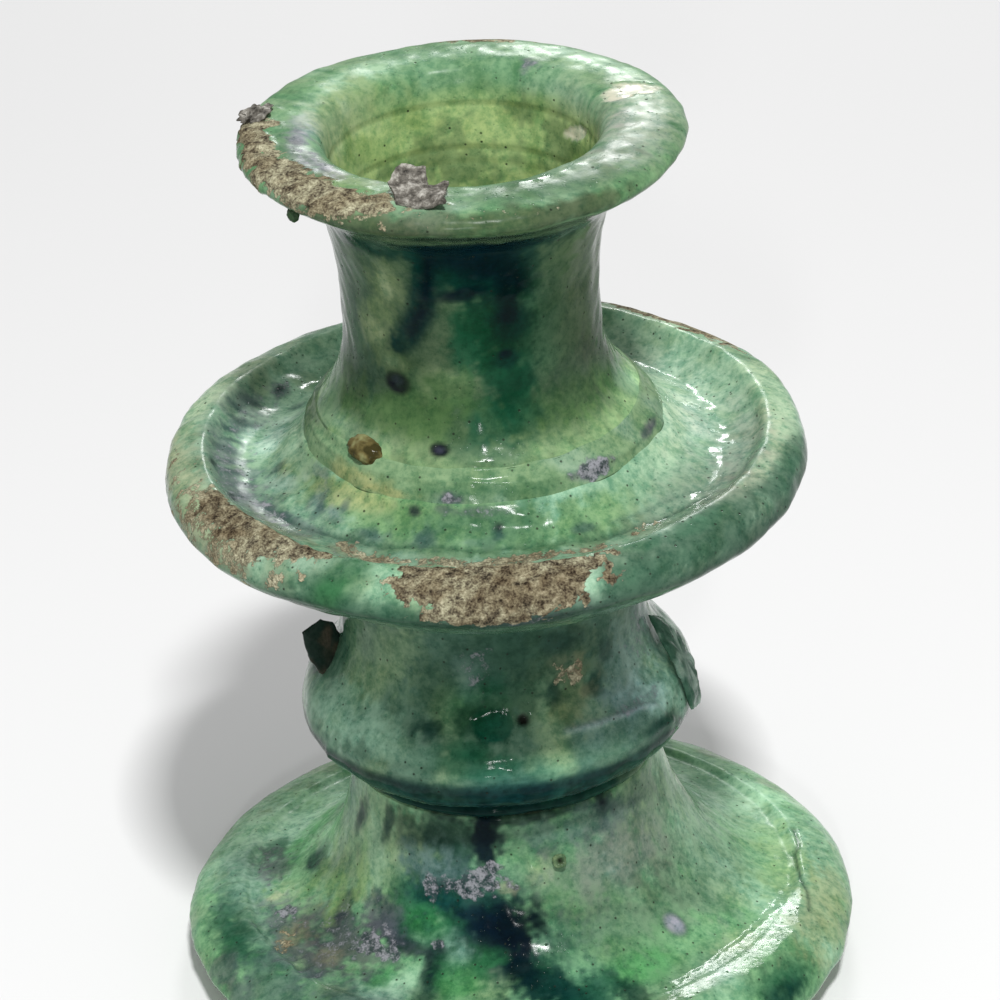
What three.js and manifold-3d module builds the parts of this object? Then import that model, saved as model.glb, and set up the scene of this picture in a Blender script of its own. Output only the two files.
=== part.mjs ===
// A candlestick of coarse earthenware under copper-green glaze, thrown on the wheel in four
// sections (foot, knop, drip pan, socket) that are luted together with rings of slip.
// The stack settled a little in the kiln, and kiln debris and glaze drops are fused to it.
// Millimetres, +Z up, origin at the centre of the ring that the foot rests on.

import * as THREE from 'three';
import { mergeVertices } from 'three/addons/utils/BufferGeometryUtils.js';
import Module from 'manifold-3d';

const wasm = await Module();
wasm.setup();

// Driving dimensions
const SIDES = 40;              // facets round every thrown section
const GAP = 0.3;               // clearance between pieces that touch
const WALL = 6.5;              // thickness of the thrown clay

const REST_RADIUS = 62;        // outer edge of the ring that the foot rests on
const FOOT_RADIUS = 71.4;      // widest ring of the foot
const FOOT_ROLL = 15.4;        // height of the foot's rolled edge
const NECK_RADIUS = 32.2;      // top of the foot
const NECK_HEIGHT = 47.8;

const RING_TOP = 51.6;         // luting ring between foot and knop
const KNOP_RADIUS = 41;        // lower lip of the knop
const KNOP_TOP = 94;
const STEM_RADIUS = 31.4;      // column above the knop's lip

const PAN_RADIUS = 65;         // widest ring of the drip pan
const PAN_CREST = 121.4;       // height of the pan's raised edge
const CREST_RADIUS = 57.2;
const WELL_HEIGHT = 116.8;     // lowest ring of the pan's well
const BOSS_RADIUS = 23.7;      // boss of the pan, inside the socket's collar
const BOSS_TOP = 128.6;

const COLLAR_BOTTOM = 123.4;   // luting collar round the socket's foot
const COLLAR_RADIUS = 36;

const SOCKET_BOTTOM = 128.9;
const WAIST_RADIUS = 25.5;     // narrowest ring of the socket's tube
const RIM_RADIUS = 43.3;       // flared rim of the socket
const RIM_TOP = 187.8;
const SEAT_HEIGHT = 137;       // floor that the candle stands on
const SEAT_RADIUS = 17;

// How the stack settled: at each height, the drift of the axis and the tip of the rings
const SETTLING = [
  { z: 0, drift: [0, 0], tip: [0, 0] },
  { z: 6, drift: [0, 0], tip: [0, 0] },
  { z: 15, drift: [0, 0], tip: [0.012, -0.032] },
  { z: 50, drift: [-3.5, 0], tip: [0.041, -0.003] },
  { z: 92, drift: [-5.2, 0.1], tip: [0.04, 0] },
  { z: 104, drift: [-5.2, 0.4], tip: [0.032, 0.033] },
  { z: 122, drift: [-5.7, -0.1], tip: [0.032, 0.033] },
  { z: 134, drift: [-7.3, 0.5], tip: [0.024, 0.054] },
  { z: 190, drift: [-8.6, -2.4], tip: [0.024, 0.054] },
];

const GLAZE = new THREE.MeshStandardMaterial({ color: 0x4f8a58, roughness: 0.25, metalness: 0 });
const DEEP_GLAZE = new THREE.MeshStandardMaterial({ color: 0x2c5f45, roughness: 0.2, metalness: 0 });
const CRUST = new THREE.MeshStandardMaterial({ color: 0x7d7160, roughness: 0.85, metalness: 0 });
const SHERD = new THREE.MeshStandardMaterial({ color: 0x34453a, roughness: 0.5, metalness: 0 });
const AMBER = new THREE.MeshStandardMaterial({ color: 0x6b5424, roughness: 0.12, metalness: 0 });

// Points of a smooth curve through [radius, height] keys
function flow(keys, steps) {
  const curve = new THREE.SplineCurve(keys.map(([radius, height]) => new THREE.Vector2(radius, height)));
  return curve.getPoints(steps);
}

// The drift and tip at a height, on straight lines between the settling stations
function settlingAt(height) {
  let upper = SETTLING.findIndex((station) => station.z >= height);
  if (upper < 0) upper = SETTLING.length - 1;
  const above = SETTLING[Math.max(upper, 1)];
  const below = SETTLING[Math.max(upper, 1) - 1];
  const share = THREE.MathUtils.clamp((height - below.z) / (above.z - below.z), 0, 1);
  const blend = (key, axis) => THREE.MathUtils.lerp(below[key][axis], above[key][axis], share);
  return { drift: [blend('drift', 0), blend('drift', 1)], tip: [blend('tip', 0), blend('tip', 1)] };
}

// Moves every vertex of an upright solid to where the settled stack carries it
function settle(geometry) {
  const position = geometry.attributes.position;
  for (let i = 0; i < position.count; i += 1) {
    const [x, y, z] = [position.getX(i), position.getY(i), position.getZ(i)];
    const { drift, tip } = settlingAt(z);
    position.setXYZ(i, x + drift[0], y + drift[1], z + x * tip[0] + y * tip[1]);
  }
  return geometry;
}

// Position-only geometry with its shared vertices merged and its collapsed triangles dropped
function welded(geometry) {
  const bare = geometry.index ? geometry : geometry.clone();
  for (const name of ['normal', 'uv']) bare.deleteAttribute(name);
  const merged = mergeVertices(bare, 1e-4);
  const index = merged.index.array;
  const kept = [];
  for (let i = 0; i < index.length; i += 3) {
    const [a, b, c] = [index[i], index[i + 1], index[i + 2]];
    if (a !== b && b !== c && c !== a) kept.push(a, b, c);
  }
  merged.setIndex(kept);
  return merged;
}

// An upright ring or solid of revolution from a closed outline, up its outside and down its inside
function thrown(outline) {
  const lathe = new THREE.LatheGeometry(outline, SIDES);
  lathe.rotateX(Math.PI / 2);
  return welded(lathe);
}

// The outline closed on itself, for a piece that is open along the axis
function closedRing(outline) {
  return [...outline, outline[0].clone()];
}

function toManifold(geometry) {
  return new wasm.Manifold(new wasm.Mesh({
    numProp: 3,
    vertProperties: new Float32Array(geometry.attributes.position.array),
    triVerts: new Uint32Array(geometry.index.array),
  }));
}

function fromManifold(solid) {
  const mesh = solid.getMesh();
  const geometry = new THREE.BufferGeometry();
  geometry.setAttribute('position', new THREE.BufferAttribute(new Float32Array(mesh.vertProperties), 3));
  geometry.setIndex(Array.from(mesh.triVerts));
  return geometry;
}

// The outline pushed outwards by the clearance, with mitred corners
function grown(outline) {
  const last = outline.length - 1;
  const closed = outline[0].equals(outline[last]);
  const normal = (from, to) => new THREE.Vector2(to.y - from.y, from.x - to.x).normalize();
  return outline.map((point, i) => {
    const before = outline[i > 0 ? i - 1 : last - 1];
    const after = outline[i < last ? i + 1 : 1];
    const incoming = i > 0 || closed ? normal(before, point) : normal(point, after);
    const outgoing = i < last || closed ? normal(point, after) : incoming;
    const mitre = incoming.clone().add(outgoing);
    const reach = Math.min((2 * GAP) / mitre.lengthSq(), 2 * GAP);
    return point.clone().addScaledVector(mitre, reach);
  });
}

// Foot: a wide hollow trumpet with a thick rolled edge
const footSkin = flow([
  [REST_RADIUS, 0], [68.6, 4], [FOOT_RADIUS, 8.2], [68.2, 12.3], [61, FOOT_ROLL], [57.4, 14.6],
  [49.5, 16.8], [41, 23.2], [36.2, 31.5], [33.4, 40.5], [NECK_RADIUS, NECK_HEIGHT],
], 19);
const footHollow = flow([
  [NECK_RADIUS - WALL, NECK_HEIGHT], [27.6, 36], [34, 24], [46, 14.4], [56, 8], [REST_RADIUS - 4.5, 0],
], 8);

// Ring of slip squeezed out between foot and knop
const neckRing = [
  ...flow([[NECK_RADIUS - 0.6, NECK_HEIGHT + GAP], [NECK_RADIUS + 1.4, NECK_HEIGHT + 2], [NECK_RADIUS - 0.2, RING_TOP]], 4),
  new THREE.Vector2(NECK_RADIUS - WALL, RING_TOP),
  new THREE.Vector2(NECK_RADIUS - WALL, NECK_HEIGHT + GAP),
];

// Knop: a bell with its lip downwards and a straight column above
const knopSkin = flow([
  [NECK_RADIUS + 0.6, RING_TOP + GAP], [37, 53.8], [KNOP_RADIUS - 1, 56.8], [KNOP_RADIUS, 61], [39.2, 67],
  [34.4, 72.8], [32, 79], [STEM_RADIUS, 86], [STEM_RADIUS + 0.8, KNOP_TOP],
], 14);
const knopHollow = flow([
  [STEM_RADIUS - WALL, KNOP_TOP], [STEM_RADIUS - WALL, 80], [30, 66], [NECK_RADIUS - WALL, RING_TOP + GAP],
], 6);

// Drip pan: a heavy dished plate with a raised edge and a boss that carries the socket
const panUnderside = flow([[34, KNOP_TOP + GAP], [38, 98.6], [46, 101.6], [53, 104.6], [60.5, 109.6], [64.4, 113]], 7);
const panEdge = flow([
  [64.4, 113], [PAN_RADIUS, 115.6], [63.2, 119.2], [CREST_RADIUS, PAN_CREST], [53.6, 118.6], [47.5, WELL_HEIGHT],
  [41, 119.2], [COLLAR_RADIUS + 0.4, COLLAR_BOTTOM - GAP],
], 13);
const panSkin = [...panUnderside, ...panEdge.slice(1)];
const panBoss = [
  new THREE.Vector2(BOSS_RADIUS, COLLAR_BOTTOM - GAP),
  new THREE.Vector2(BOSS_RADIUS, BOSS_TOP),
  new THREE.Vector2(0, BOSS_TOP),
];

// Collar of slip round the socket's foot
const collarSkin = flow([
  [COLLAR_RADIUS, COLLAR_BOTTOM], [COLLAR_RADIUS - 0.6, 125.4], [34, 127.2], [33, BOSS_TOP],
], 5);

// Socket: a waisted tube that flares into a wide rim, with a closed floor for the candle
const socketSkin = flow([
  [32.8, SOCKET_BOTTOM], [28.9, 133.2], [26.4, 139], [WAIST_RADIUS, 146], [26, 158], [28, 169], [31, 175],
  [38.2, 180.4], [RIM_RADIUS - 0.2, 183.8], [RIM_RADIUS - 0.5, 186], [40, 187.2], [34.2, RIM_TOP],
  [29.4, 187.2], [26.8, 184.6], [25.6, 179],
], 24);
const socketBore = flow([[25.6, 179], [24, 170], [22, 158], [20, 147], [SEAT_RADIUS + 1.2, 140]], 6);

const sections = {
  foot: closedRing([...footSkin, ...footHollow]),
  neck_ring: closedRing(neckRing),
  stem_knop: closedRing([...knopSkin, ...knopHollow]),
  drip_pan: [new THREE.Vector2(0, KNOP_TOP + GAP), ...panSkin, ...panBoss],
  socket_collar: closedRing([
    ...collarSkin,
    new THREE.Vector2(BOSS_RADIUS + GAP, BOSS_TOP),
    new THREE.Vector2(BOSS_RADIUS + GAP, COLLAR_BOTTOM),
  ]),
  candle_socket: [
    new THREE.Vector2(0, SOCKET_BOTTOM), ...socketSkin, ...socketBore.slice(1),
    new THREE.Vector2(SEAT_RADIUS, SEAT_HEIGHT), new THREE.Vector2(0, SEAT_HEIGHT),
  ],
};

// A flake of clay or kiln crust: an irregular plate with a bevelled edge, curled across its width
function flake({ long, wide, thick, corners, curl }) {
  const outline = new THREE.Shape();
  corners.forEach((reach, i) => {
    const angle = (i / corners.length) * 2 * Math.PI;
    const [x, y] = [0.5 * long * reach * Math.cos(angle), 0.5 * wide * reach * Math.sin(angle)];
    if (i === 0) outline.moveTo(x, y);
    else outline.lineTo(x, y);
  });
  const bevel = 0.25 * thick;
  const plate = new THREE.ExtrudeGeometry(outline, {
    depth: thick - 2 * bevel, bevelEnabled: true, bevelSize: bevel, bevelOffset: -bevel,
    bevelThickness: bevel, bevelSegments: 1, curveSegments: 1,
  });
  plate.translate(0, 0, bevel);
  const position = plate.attributes.position;
  for (let i = 0; i < position.count; i += 1) {
    const across = position.getX(i) / (0.5 * long);
    position.setZ(i, position.getZ(i) + curl * across * across);
  }
  return welded(plate);
}

// A fused lump or drop: a ball squashed to its three sizes, with a few slow swellings
function lump({ long, wide, tall, uneven }) {
  const ball = welded(new THREE.IcosahedronGeometry(1, 2));
  const position = ball.attributes.position;
  for (let i = 0; i < position.count; i += 1) {
    const [x, y, z] = [position.getX(i), position.getY(i), position.getZ(i)];
    const swell = 1 + uneven * Math.sin(3 * x + 1.7) * Math.cos(2.6 * y + 0.4) + 0.5 * uneven * Math.sin(4.2 * z);
    position.setXYZ(i, 0.5 * long * swell * x, 0.5 * wide * swell * y, 0.5 * tall * swell * z);
  }
  return ball;
}

// Kiln debris and glaze drops: where each one sits on the upright stack, and how it is turned.
// bearing runs anticlockwise from +X; pitch lifts the piece's outer end; spin turns it on its face.
const DEBRIS = {
  rim_clinker_front: {
    shape: flake({ long: 12.4, wide: 8, thick: 2.2, corners: [1, 0.9, 1.1, 0.85, 1, 0.95, 0.8, 1.05], curl: 1.6 }),
    radius: 35, bearing: -103, height: 187.8, pitch: 4, spin: 62, hosts: ['candle_socket'], material: CRUST,
  },
  rim_clinker_left: {
    shape: lump({ long: 6.4, wide: 5.4, tall: 3.4, uneven: 0.16 }),
    radius: 40.5, bearing: 170, height: 188, pitch: 0, spin: 20, hosts: ['candle_socket'], material: CRUST,
  },
  rim_drop: {
    shape: lump({ long: 2.4, wide: 2.4, tall: 3, uneven: 0.05 }),
    radius: 42.4, bearing: -138, height: 182.6, pitch: 0, spin: 0, hosts: ['candle_socket'], material: DEEP_GLAZE,
  },
  glaze_bead: {
    shape: lump({ long: 6.6, wide: 5.4, tall: 4.6, uneven: 0.08 }),
    radius: 32.6, bearing: -133, height: 129.8, pitch: -50, spin: 0, hosts: ['candle_socket', 'socket_collar'], material: AMBER,
  },
  knop_sherd_left: {
    shape: flake({ long: 13, wide: 7, thick: 1.8, corners: [1, 0.8, 1.05, 0.9, 0.95, 1.1, 0.85, 1], curl: 0.5 }),
    radius: 35.6, bearing: -170, height: 74.2, pitch: 62, spin: 0, hosts: ['stem_knop'], material: SHERD,
  },
  knop_sherd_right: {
    shape: flake({ long: 20, wide: 9, thick: 2, corners: [1, 0.85, 0.7, 1, 0.9, 1.05, 0.8, 0.95], curl: 1.2 }),
    radius: 39.4, bearing: -12, height: 69.6, pitch: 117, spin: 12, hosts: ['stem_knop'], material: SHERD,
  },
  foot_pip: {
    shape: lump({ long: 2.8, wide: 2.8, tall: 2.2, uneven: 0.05 }),
    radius: 34.8, bearing: -73, height: 37.5, pitch: 0, spin: 0, hosts: ['foot'], material: GLAZE,
  },
};

const COLOURS = {
  foot: GLAZE, neck_ring: DEEP_GLAZE, stem_knop: DEEP_GLAZE, drip_pan: GLAZE, socket_collar: GLAZE, candle_socket: GLAZE,
};

function named(name, geometry, material) {
  geometry.computeVertexNormals();
  const mesh = new THREE.Mesh(geometry, material);
  mesh.name = name;
  return mesh;
}

const candlestick = new THREE.Group();

for (const [name, outline] of Object.entries(sections)) {
  candlestick.add(named(name, settle(thrown(outline)), COLOURS[name]));
}

for (const [name, piece] of Object.entries(DEBRIS)) {
  const degrees = THREE.MathUtils.degToRad;
  const shape = piece.shape.clone();
  shape.rotateZ(degrees(piece.spin));
  shape.rotateY(degrees(-piece.pitch));
  shape.rotateZ(degrees(piece.bearing));
  const turn = degrees(piece.bearing);
  shape.translate(piece.radius * Math.cos(turn), piece.radius * Math.sin(turn), piece.height);
  let fitted = toManifold(settle(shape));
  for (const host of piece.hosts) {
    fitted = fitted.subtract(toManifold(settle(thrown(grown(sections[host])))));
  }
  candlestick.add(named(name, fromManifold(fitted), piece.material));
}

export default candlestick;
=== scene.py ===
"""A candlestick of coarse earthenware under copper-green lead glaze.

It was thrown in four sections, luted together with rings of slip, and it settled a little in
the kiln. Metres, +Z up, origin at the centre of the ring that the foot rests on.
"""

import math

import bpy
import numpy as np
from mathutils import Matrix


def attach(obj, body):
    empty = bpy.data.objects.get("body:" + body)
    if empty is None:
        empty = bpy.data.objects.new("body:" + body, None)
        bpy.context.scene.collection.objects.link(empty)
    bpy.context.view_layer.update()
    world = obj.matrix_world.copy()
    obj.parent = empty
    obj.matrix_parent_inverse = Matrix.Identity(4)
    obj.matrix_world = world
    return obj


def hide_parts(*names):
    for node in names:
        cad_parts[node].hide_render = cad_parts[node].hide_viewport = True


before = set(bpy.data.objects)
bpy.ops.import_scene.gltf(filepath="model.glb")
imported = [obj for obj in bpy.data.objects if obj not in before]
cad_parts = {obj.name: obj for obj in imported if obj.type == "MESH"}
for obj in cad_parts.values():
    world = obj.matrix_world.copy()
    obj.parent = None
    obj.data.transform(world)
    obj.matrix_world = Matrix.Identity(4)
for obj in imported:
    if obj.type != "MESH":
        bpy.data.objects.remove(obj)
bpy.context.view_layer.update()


# --- Foot -------------------------------------------------------------------------------------
# A wide hollow trumpet with a thick rolled edge, thrown upside down and turned over. Copper-green
# glaze ran down it in streaks and pooled to near black where the neck meets the slope.
MM = 0.001

# How the stack settled: height, drift of the axis in x and y, tip of the rings along x and y
SETTLING = np.array([
    [0, 0, 0, 0, 0], [6, 0, 0, 0, 0], [15, 0, 0, 0.012, -0.032], [50, -3.5, 0, 0.041, -0.003],
    [92, -5.2, 0.1, 0.04, 0], [104, -5.2, 0.4, 0.032, 0.033], [122, -5.7, -0.1, 0.032, 0.033],
    [134, -7.3, 0.5, 0.024, 0.054], [190, -8.6, -2.4, 0.024, 0.054],
])


def settled(points):
    """Each point moves by the drift at its height, and rises by its x and y times the tip."""
    x, y, z = np.moveaxis(points, -1, 0)
    drift_x, drift_y, tip_x, tip_y = (
        np.interp(z / MM, SETTLING[:, 0], SETTLING[:, column]) for column in range(1, 5)
    )
    return np.stack([x + drift_x * MM, y + drift_y * MM, z + x * tip_x + y * tip_y], -1)


def flow(keys, spacing, steps=60):
    """A smooth line through the [radius, height] keys: between two keys it is the cubic whose
    slope at each is half the step between that key's neighbours. It is worked out in that many
    steps, and then evenly spaced."""
    keys = np.array(keys, float)
    last = len(keys) - 1
    at = np.linspace(0, last, last * steps + 1)
    index = np.minimum(at.astype(int), last - 1)
    share = (at - index)[:, None]
    before, start, end, after = (keys[np.clip(index + step, 0, last)] for step in (-1, 0, 1, 2))
    leave, arrive = (end - before) / 2, (after - start) / 2
    line = (
        (2 * start - 2 * end + leave + arrive) * share**3
        + (3 * end - 3 * start - 2 * leave - arrive) * share**2
        + leave * share + start
    )
    run = np.append(0, np.cumsum(np.hypot(*np.diff(line, axis=0).T)))
    even = np.linspace(0, run[-1], max(2, math.ceil(run[-1] / spacing) + 1))
    return np.stack([np.interp(even, run, line[:, 0]), np.interp(even, run, line[:, 1])], 1) * MM


def ripple(points, size, seed, waves=26, peak=1.6):
    """Uneven swelling of about -1 to 1: a sum of sine waves through space, in random directions,
    with lengths from 0.7 to 1.6 times size, divided by the square root of half their number and
    by peak, which such a sum seldom passes."""
    chance = np.random.default_rng(seed)
    heading = chance.normal(size=(waves, 3))
    heading /= np.linalg.norm(heading, axis=1, keepdims=True)
    rate = 2 * np.pi / (size * MM * chance.uniform(0.7, 1.6, waves))
    phase = chance.uniform(0, 2 * np.pi, waves)
    total = np.zeros(points.shape[:-1])
    for way, speed, start in zip(heading, rate, phase):
        total += np.sin(points @ (way * speed) + start)
    return total / math.sqrt(waves / 2) / peak


def tone(red, green, blue):
    """A colour given as 0 to 255 shades, as the linear light that the shader works in."""
    shade = np.array([red, green, blue]) / 255
    return np.where(shade <= 0.04045, shade / 12.92, ((shade + 0.055) / 1.055) ** 2.4)


def smooth(value, low, high):
    """0 below low, 1 above high, and 3t^2 - 2t^3 between them."""
    t = np.clip((value - low) / (high - low), 0, 1)
    return t * t * (3 - 2 * t)


def capped(grid, low, high):
    """Faces of a grid of point numbers that closes round, with a pole below and a pole above:
    whole arrays, with one row of corners for each face."""
    beside = np.roll(grid, -1, axis=1)
    quads = np.stack([grid[:-1], beside[:-1], beside[1:], grid[1:]], -1).reshape(-1, 4)
    below, above = (np.full(grid.shape[1], pole) for pole in (low, high))
    bottom = np.stack([below, beside[0], grid[0]], -1)
    return [quads, bottom, np.stack([grid[-1], beside[-1], above], -1)]


def solid(name, points, faces, attributes, finish, slot, *nodes):
    """A mesh object at the origin, smooth shaded, riding on the root in place of its nodes. An
    attribute with three columns is a colour."""
    mesh = bpy.data.meshes.new(name)
    flat = np.concatenate([block.ravel() for block in faces])
    corners = np.concatenate([np.full(len(block), block.shape[1]) for block in faces])
    starts = np.append(0, np.cumsum(corners)[:-1])
    mesh.vertices.add(len(points))
    mesh.vertices.foreach_set("co", np.asarray(points, np.float32).ravel())
    mesh.loops.add(len(flat))
    mesh.loops.foreach_set("vertex_index", flat.astype(np.int32))
    mesh.polygons.add(len(corners))
    mesh.polygons.foreach_set("loop_start", starts.astype(np.int32))
    mesh.polygons.foreach_set("loop_total", corners.astype(np.int32))
    mesh.polygons.foreach_set("use_smooth", np.ones(len(corners), bool))
    for label, values in attributes.items():
        kind, field = ("FLOAT_COLOR", "color") if values.ndim == 2 else ("FLOAT", "value")
        if values.ndim == 2:
            values = np.c_[values, np.ones(len(values))]
        layer = mesh.attributes.new(label, kind, "POINT")
        layer.data.foreach_set(field, values.astype(np.float32).ravel())
    mesh.update()
    mesh.validate()
    mesh.materials.append(finish)
    piece = bpy.data.objects.new(name, mesh)
    bpy.context.scene.collection.objects.link(piece)
    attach(piece, "root")
    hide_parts(*nodes)


class Thrown:
    """A surface turned on the wheel, as rows up the outline and columns round the axis:
    x = radius cos bearing, y = radius sin bearing. Marks on it are placed by their bearing in
    degrees anticlockwise from +X, and by their distance up the outline in millimetres. runs is
    noise drawn out along the outline, as the glaze ran, and edge is the unevenness of a mark.
    glaze is the colour. bare, film and dull say, from 0 to 1, how far clay shows, how much
    metal lies on it and how dull it is. lift is how far the skin stands out, in millimetres."""

    GIRTH, DRAWN = 32, 0.16  # the runs' noise is made at this radius, and its height scaled

    def __init__(self, outline, columns, seed, base):
        self.radius, self.height = outline.T
        self.up = np.append(0, np.cumsum(np.hypot(*np.diff(outline, axis=0).T)))[:, None] / MM
        self.bearing = np.linspace(-180, 180, columns, endpoint=False)[None, :]
        self.points = self.turned(np.zeros((len(outline), columns)))
        turn = np.radians(self.bearing)
        east, north, rise = self.GIRTH * np.cos(turn), self.GIRTH * np.sin(turn), self.DRAWN * self.up
        drawn = np.stack(np.broadcast_arrays(east, north, rise), -1) * MM
        self.runs = 0.6 * ripple(drawn, 6, seed + 3) + 0.6 * ripple(drawn, 2.6, seed + 4)
        self.edge = (
            0.4 * ripple(self.points, 7, seed) + 0.35 * ripple(self.points, 3.2, seed + 1)
            + 0.3 * ripple(self.points, 1.4, seed + 2) + 0.35 * self.runs
        )
        self.glaze = np.broadcast_to(base, self.points.shape).copy()
        plain = np.zeros(self.points.shape[:2])
        self.bare, self.film, self.dull, self.lift = (plain.copy() for _ in range(4))

    def turned(self, lift):
        """The outline turned round the axis, each point moved out along the outline's normal
        by its lift."""
        ahead = np.gradient(np.stack([self.radius, self.height], 1), axis=0)
        ahead /= np.maximum(np.linalg.norm(ahead, axis=1, keepdims=True), 1e-9)
        radius = self.radius[:, None] + lift * ahead[:, 1:2]
        radius = np.where(self.radius[:, None] == 0, 0, radius)
        height = self.height[:, None] - lift * ahead[:, 0:1]
        turn = np.radians(self.bearing)
        return np.stack([radius * np.cos(turn), radius * np.sin(turn), height], -1)

    def across(self, bearing):
        """Distance round the surface from a bearing, in millimetres."""
        turn = (self.bearing - bearing + 180) % 360 - 180
        return np.radians(turn) * self.radius[:, None] / MM

    def patch(self, bearing, up, wide, tall, slant=0, soft=0.5, ragged=0.45):
        """1 inside an oval of half-sizes wide and tall, fading to 0 over its soft edge; the
        distance from its middle is shifted by the ragged noise."""
        x, y = self.across(bearing), self.up - up
        turn = math.radians(slant)
        a, b = x * math.cos(turn) + y * math.sin(turn), y * math.cos(turn) - x * math.sin(turn)
        far = np.hypot(a / wide, b / tall) + ragged * self.edge
        return 1 - smooth(far, 1 - soft, 1 + soft)

    def line(self, path, wide):
        """exp(-(d/wide)^2), where d is the distance to a line through [bearing, up] places."""
        nearest = np.full(self.points.shape[:2], 1e9)
        for (b0, u0), (b1, u1) in zip(path[:-1], path[1:]):
            x, y = self.across(b0), self.up - u0
            dx = np.radians(b1 - b0) * self.radius[:, None] / MM
            dy = u1 - u0
            share = np.clip((x * dx + y * dy) / np.maximum(dx * dx + dy * dy, 1e-9), 0, 1)
            nearest = np.minimum(nearest, np.hypot(x - share * dx, y - share * dy))
        return np.exp(-((nearest + 0.25 * wide * self.edge) / wide) ** 2)

    def spread(self, *marks):
        """The strongest of some ovals at each point. A mark is a strength, the oval, and how
        ragged it is."""
        ovals = [share * self.patch(*oval, ragged=ragged) for share, *oval, ragged in marks]
        return np.maximum.reduce(ovals)

    def uneven(self, *layers):
        """The sum of ripples, each given as its height, the size of its waves and its seed."""
        return sum(tall * ripple(self.points, size, seed) for tall, size, seed in layers)

    def rings(self, *lines):
        """Throwing lines: each is a share of a sine wave up the outline, given its spacing and
        the angle that it starts at."""
        return sum(share * np.sin(self.up * 2 * np.pi / gap + start) for share, gap, start in lines)

    def paint(self, colour, mask, strength=1.0):
        share = (np.clip(mask * (0.9 + 0.25 * self.edge), 0, 1) * strength)[..., None]
        self.glaze += (colour - self.glaze) * share

    def cloud(self, colour, size, seed, low, high, strength, drawn=1, within=1):
        """Paints where a ripple rises from low to high, inside a mask. drawn below 1 draws the
        ripple out in height."""
        noise = ripple(self.points * [1, 1, drawn], size, seed)
        self.paint(colour, smooth(noise, low, high) * within, strength)

    def dabs(self, colour, marks, strength=1.0, **edge):
        for mark in marks:
            self.paint(colour, self.patch(*mark, **edge), strength)

    def wash_and_shade(self, *marks):
        """Thicker or thinner glaze, and painted shade: inside each oval the colour is multiplied by the
        last three numbers of its mark, which stand for red, green and blue. The ovals under the knop's
        lip darken it as painted shade."""
        for *oval, red, green, blue in marks:
            share = self.patch(*oval, soft=0.7, ragged=0.25)[..., None]
            self.glaze *= 1 + (np.array([red, green, blue]) - 1) * share

    def made(self, name, finish, slot, *nodes):
        """Closes the rows into a ring, or with a pole where the outline meets the axis, lets the
        form settle, and puts it in the scene."""
        rows, columns = self.points.shape[:2]
        grid = np.arange(rows * columns).reshape(rows, columns)
        points = settled(self.turned(self.lift * MM)).reshape(-1, 3)
        layers = {"glaze": self.glaze.reshape(-1, 3)}
        for label in ("bare", "film", "runs", "dull"):
            layers[label] = getattr(self, label).ravel()
        if self.radius[0] > 0:
            over = np.roll(grid, -1, axis=0)
            beside, over_beside = np.roll(grid, -1, axis=1), np.roll(over, -1, axis=1)
            faces = [np.stack([grid, beside, over_beside, over], -1).reshape(-1, 4)]
        else:
            pole = rows * columns - 1
            used = np.r_[0, np.arange(columns, (rows - 1) * columns), pole]
            renumber = np.zeros(rows * columns, int)
            renumber[used] = np.arange(len(used))
            points, layers = points[used], {label: values[used] for label, values in layers.items()}
            faces = [renumber[block] for block in capped(grid[1:-1], 0, pole)]
        solid(name, points, faces, layers, finish, slot, *nodes)


class Wire:
    """A socket that does sums: an expression on wires adds its Math nodes."""

    def __init__(self, recipe, socket):
        self.recipe, self.socket = recipe, socket

    def sum(self, operation, *terms):
        return self.recipe.node("Math", {"operation": operation}, terms)

    def __add__(self, other):
        return self.sum("ADD", self, other)

    def __sub__(self, other):
        return self.sum("SUBTRACT", self, other)

    def __rsub__(self, other):
        return self.sum("SUBTRACT", other, self)

    def __mul__(self, other):
        return self.sum("MULTIPLY", self, other)

    __radd__, __rmul__ = __add__, __mul__

    def between(self, low, high):
        """0 below low, 1 above high, smooth between them."""
        ends = {"Value": self, "From Min": low, "From Max": high}
        return self.recipe.node("MapRange", {"interpolation_type": "SMOOTHSTEP"}, ends)


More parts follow.
